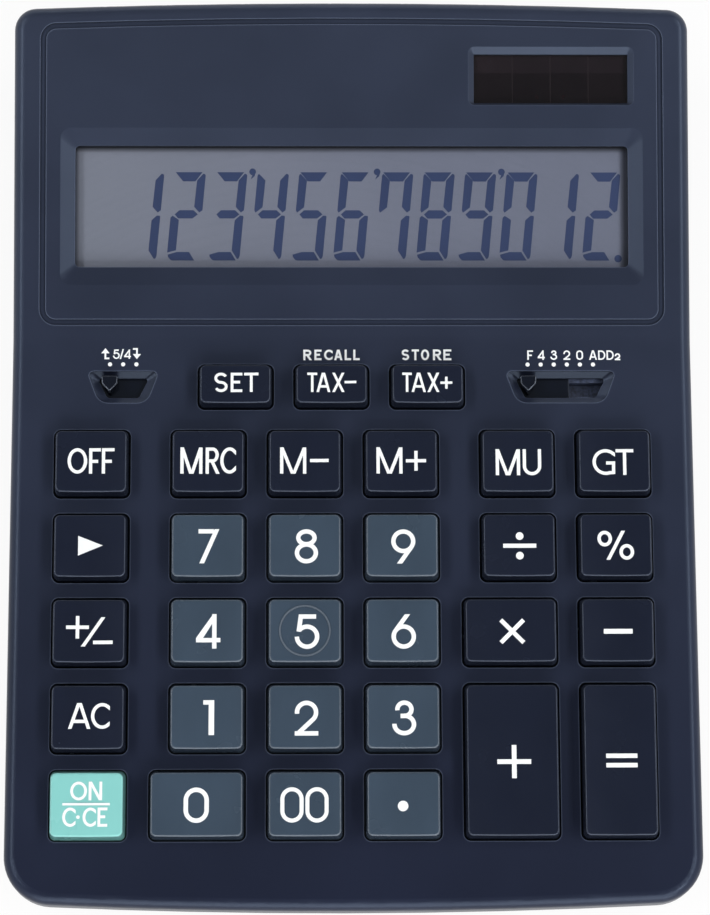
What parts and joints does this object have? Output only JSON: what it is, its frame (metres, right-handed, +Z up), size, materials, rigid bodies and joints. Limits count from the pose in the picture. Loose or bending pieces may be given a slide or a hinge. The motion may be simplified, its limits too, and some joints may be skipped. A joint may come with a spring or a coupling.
{
  "type": "desktop calculator",
  "caption": "Wedge-shaped desktop calculator with a tilted display, solar window, slide switches and sprung dished keys.",
  "frame": {"origin": "centre of the footprint, on the surface that the rubber feet stand on", "axes": "+X to the right of someone using it, +Y to the rear, where the display is, +Z up"},
  "size_m": [0.1532, 0.2032, 0.0354],
  "materials": {
    "case_blue": "fine matt grain",
    "case_base": "fine matt grain",
    "cell_steel": "bright nickel",
    "contact_metal": "nickel plated spring strip",
    "wire_cover": "insulation",
    "board": "solder resist",
    "chip_resin": "potting resin",
    "capacitor_can": "sleeved can",
    "silicone": "soft matt",
    "clear_sheet": "clear, polished",
    "lcd_face": "grey polariser",
    "inner_plastic": "moulded",
    "ribbon_film": "polyester film",
    "solar_face": "dark glass cell",
    "knob_black": "satin",
    "screw_steel": "zinc plated",
    "foot_rubber": "matt",
    "key_dark": "satin",
    "key_slate": "satin",
    "key_turquoise": "satin"
  },
  "bodies": {
    "case": {"upper_housing": "case_blue", "lower_housing": "case_base", "button_cell": "cell_steel", "battery_contact_minus": "contact_metal", "battery_contact_plus": "contact_metal", "battery_wires": "wire_cover", "solar_wires": "wire_cover", "circuit_board": "board", "controller_chip": "chip_resin", "board_capacitor": "capacitor_can", "key_membrane": "silicone", "display_window": "clear_sheet", "lcd_panel": "lcd_face", "lcd_holder": "inner_plastic", "lcd_ribbon": "ribbon_film", "solar_window": "clear_sheet", "solar_cell": "solar_face", "rounding_base": "inner_plastic", "decimal_base": "inner_plastic", "case_screws": "screw_steel", "board_screws": "screw_steel", "holder_screws": "screw_steel", "rubber_feet": "foot_rubber"},
    "key_set": {"key_set": "key_dark"},
    "key_tax_minus": {"key_tax_minus": "key_dark"},
    "key_tax_plus": {"key_tax_plus": "key_dark"},
    "key_off": {"key_off": "key_dark"},
    "key_mrc": {"key_mrc": "key_dark"},
    "key_m_minus": {"key_m_minus": "key_dark"},
    "key_m_plus": {"key_m_plus": "key_dark"},
    "key_mu": {"key_mu": "key_dark"},
    "key_gt": {"key_gt": "key_dark"},
    "key_shift": {"key_shift": "key_dark"},
    "key_7": {"key_7": "key_slate"},
    "key_8": {"key_8": "key_slate"},
    "key_9": {"key_9": "key_slate"},
    "key_divide": {"key_divide": "key_dark"},
    "key_percent": {"key_percent": "key_dark"},
    "key_sign": {"key_sign": "key_dark"},
    "key_4": {"key_4": "key_slate"},
    "key_5": {"key_5": "key_slate"},
    "key_6": {"key_6": "key_slate"},
    "key_multiply": {"key_multiply": "key_dark"},
    "key_minus": {"key_minus": "key_dark"},
    "key_ac": {"key_ac": "key_dark"},
    "key_1": {"key_1": "key_slate"},
    "key_2": {"key_2": "key_slate"},
    "key_3": {"key_3": "key_slate"},
    "key_plus": {"key_plus": "key_dark"},
    "key_equals": {"key_equals": "key_dark"},
    "key_on": {"key_on": "key_turquoise"},
    "key_0": {"key_0": "key_slate"},
    "key_00": {"key_00": "key_slate"},
    "key_point": {"key_point": "key_slate"},
    "battery_cap": {"battery_cap": "case_base"},
    "rounding_knob": {"rounding_knob": "knob_black", "rounding_wiper": "contact_metal"},
    "decimal_knob": {"decimal_knob": "knob_black", "decimal_wiper": "contact_metal"}
  },
  "joints": [
    {"name": "press_set", "type": "slide", "parent": "case", "child": "key_set", "axis": [0, 0.0698, -0.9976], "range_m": [0, 0.0015], "stiffness_N_per_m": 300, "deforming": ["key_membrane"]},
    {"name": "press_tax_minus", "type": "slide", "parent": "case", "child": "key_tax_minus", "axis": [0, 0.0698, -0.9976], "range_m": [0, 0.0015], "stiffness_N_per_m": 300, "deforming": ["key_membrane"]},
    {"name": "press_tax_plus", "type": "slide", "parent": "case", "child": "key_tax_plus", "axis": [0, 0.0698, -0.9976], "range_m": [0, 0.0015], "stiffness_N_per_m": 300, "deforming": ["key_membrane"]},
    {"name": "press_off", "type": "slide", "parent": "case", "child": "key_off", "axis": [0, 0.0698, -0.9976], "range_m": [0, 0.0015], "stiffness_N_per_m": 300, "deforming": ["key_membrane"]},
    {"name": "press_mrc", "type": "slide", "parent": "case", "child": "key_mrc", "axis": [0, 0.0698, -0.9976], "range_m": [0, 0.0015], "stiffness_N_per_m": 300, "deforming": ["key_membrane"]},
    {"name": "press_m_minus", "type": "slide", "parent": "case", "child": "key_m_minus", "axis": [0, 0.0698, -0.9976], "range_m": [0, 0.0015], "stiffness_N_per_m": 300, "deforming": ["key_membrane"]},
    {"name": "press_m_plus", "type": "slide", "parent": "case", "child": "key_m_plus", "axis": [0, 0.0698, -0.9976], "range_m": [0, 0.0015], "stiffness_N_per_m": 300, "deforming": ["key_membrane"]},
    {"name": "press_mu", "type": "slide", "parent": "case", "child": "key_mu", "axis": [0, 0.0698, -0.9976], "range_m": [0, 0.0015], "stiffness_N_per_m": 300, "deforming": ["key_membrane"]},
    {"name": "press_gt", "type": "slide", "parent": "case", "child": "key_gt", "axis": [0, 0.0698, -0.9976], "range_m": [0, 0.0015], "stiffness_N_per_m": 300, "deforming": ["key_membrane"]},
    {"name": "press_shift", "type": "slide", "parent": "case", "child": "key_shift", "axis": [0, 0.0698, -0.9976], "range_m": [0, 0.0015], "stiffness_N_per_m": 300, "deforming": ["key_membrane"]},
    {"name": "press_7", "type": "slide", "parent": "case", "child": "key_7", "axis": [0, 0.0698, -0.9976], "range_m": [0, 0.0015], "stiffness_N_per_m": 300, "deforming": ["key_membrane"]},
    {"name": "press_8", "type": "slide", "parent": "case", "child": "key_8", "axis": [0, 0.0698, -0.9976], "range_m": [0, 0.0015], "stiffness_N_per_m": 300, "deforming": ["key_membrane"]},
    {"name": "press_9", "type": "slide", "parent": "case", "child": "key_9", "axis": [0, 0.0698, -0.9976], "range_m": [0, 0.0015], "stiffness_N_per_m": 300, "deforming": ["key_membrane"]},
    {"name": "press_divide", "type": "slide", "parent": "case", "child": "key_divide", "axis": [0, 0.0698, -0.9976], "range_m": [0, 0.0015], "stiffness_N_per_m": 300, "deforming": ["key_membrane"]},
    {"name": "press_percent", "type": "slide", "parent": "case", "child": "key_percent", "axis": [0, 0.0698, -0.9976], "range_m": [0, 0.0015], "stiffness_N_per_m": 300, "deforming": ["key_membrane"]},
    {"name": "press_sign", "type": "slide", "parent": "case", "child": "key_sign", "axis": [0, 0.0698, -0.9976], "range_m": [0, 0.0015], "stiffness_N_per_m": 300, "deforming": ["key_membrane"]},
    {"name": "press_4", "type": "slide", "parent": "case", "child": "key_4", "axis": [0, 0.0698, -0.9976], "range_m": [0, 0.0015], "stiffness_N_per_m": 300, "deforming": ["key_membrane"]},
    {"name": "press_5", "type": "slide", "parent": "case", "child": "key_5", "axis": [0, 0.0698, -0.9976], "range_m": [0, 0.0015], "stiffness_N_per_m": 300, "deforming": ["key_membrane"]},
    {"name": "press_6", "type": "slide", "parent": "case", "child": "key_6", "axis": [0, 0.0698, -0.9976], "range_m": [0, 0.0015], "stiffness_N_per_m": 300, "deforming": ["key_membrane"]},
    {"name": "press_multiply", "type": "slide", "parent": "case", "child": "key_multiply", "axis": [0, 0.0698, -0.9976], "range_m": [0, 0.0015], "stiffness_N_per_m": 300, "deforming": ["key_membrane"]},
    {"name": "press_minus", "type": "slide", "parent": "case", "child": "key_minus", "axis": [0, 0.0698, -0.9976], "range_m": [0, 0.0015], "stiffness_N_per_m": 300, "deforming": ["key_membrane"]},
    {"name": "press_ac", "type": "slide", "parent": "case", "child": "key_ac", "axis": [0, 0.0698, -0.9976], "range_m": [0, 0.0015], "stiffness_N_per_m": 300, "deforming": ["key_membrane"]},
    {"name": "press_1", "type": "slide", "parent": "case", "child": "key_1", "axis": [0, 0.0698, -0.9976], "range_m": [0, 0.0015], "stiffness_N_per_m": 300, "deforming": ["key_membrane"]},
    {"name": "press_2", "type": "slide", "parent": "case", "child": "key_2", "axis": [0, 0.0698, -0.9976], "range_m": [0, 0.0015], "stiffness_N_per_m": 300, "deforming": ["key_membrane"]},
    {"name": "press_3", "type": "slide", "parent": "case", "child": "key_3", "axis": [0, 0.0698, -0.9976], "range_m": [0, 0.0015], "stiffness_N_per_m": 300, "deforming": ["key_membrane"]},
    {"name": "press_plus", "type": "slide", "parent": "case", "child": "key_plus", "axis": [0, 0.0698, -0.9976], "range_m": [0, 0.0015], "stiffness_N_per_m": 300, "deforming": ["key_membrane"]},
    {"name": "press_equals", "type": "slide", "parent": "case", "child": "key_equals", "axis": [0, 0.0698, -0.9976], "range_m": [0, 0.0015], "stiffness_N_per_m": 300, "deforming": ["key_membrane"]},
    {"name": "press_on", "type": "slide", "parent": "case", "child": "key_on", "axis": [0, 0.0698, -0.9976], "range_m": [0, 0.0015], "stiffness_N_per_m": 300, "deforming": ["key_membrane"]},
    {"name": "press_0", "type": "slide", "parent": "case", "child": "key_0", "axis": [0, 0.0698, -0.9976], "range_m": [0, 0.0015], "stiffness_N_per_m": 300, "deforming": ["key_membrane"]},
    {"name": "press_00", "type": "slide", "parent": "case", "child": "key_00", "axis": [0, 0.0698, -0.9976], "range_m": [0, 0.0015], "stiffness_N_per_m": 300, "deforming": ["key_membrane"]},
    {"name": "press_point", "type": "slide", "parent": "case", "child": "key_point", "axis": [0, 0.0698, -0.9976], "range_m": [0, 0.0015], "stiffness_N_per_m": 300, "deforming": ["key_membrane"]},
    {"name": "rounding_slide", "type": "slide", "parent": "case", "child": "rounding_knob", "axis": [1, 0, 0], "range_m": [0, 0.0059]},
    {"name": "decimal_slide", "type": "slide", "parent": "case", "child": "decimal_knob", "axis": [1, 0, 0], "range_m": [0, 0.01475]},
    {"name": "battery_cap_turn", "type": "hinge", "parent": "case", "child": "battery_cap", "pos_m": [-0.03, 0.06, 0.0012], "axis": [0, 0, 1], "range_deg": [0, 45]}
  ]
}
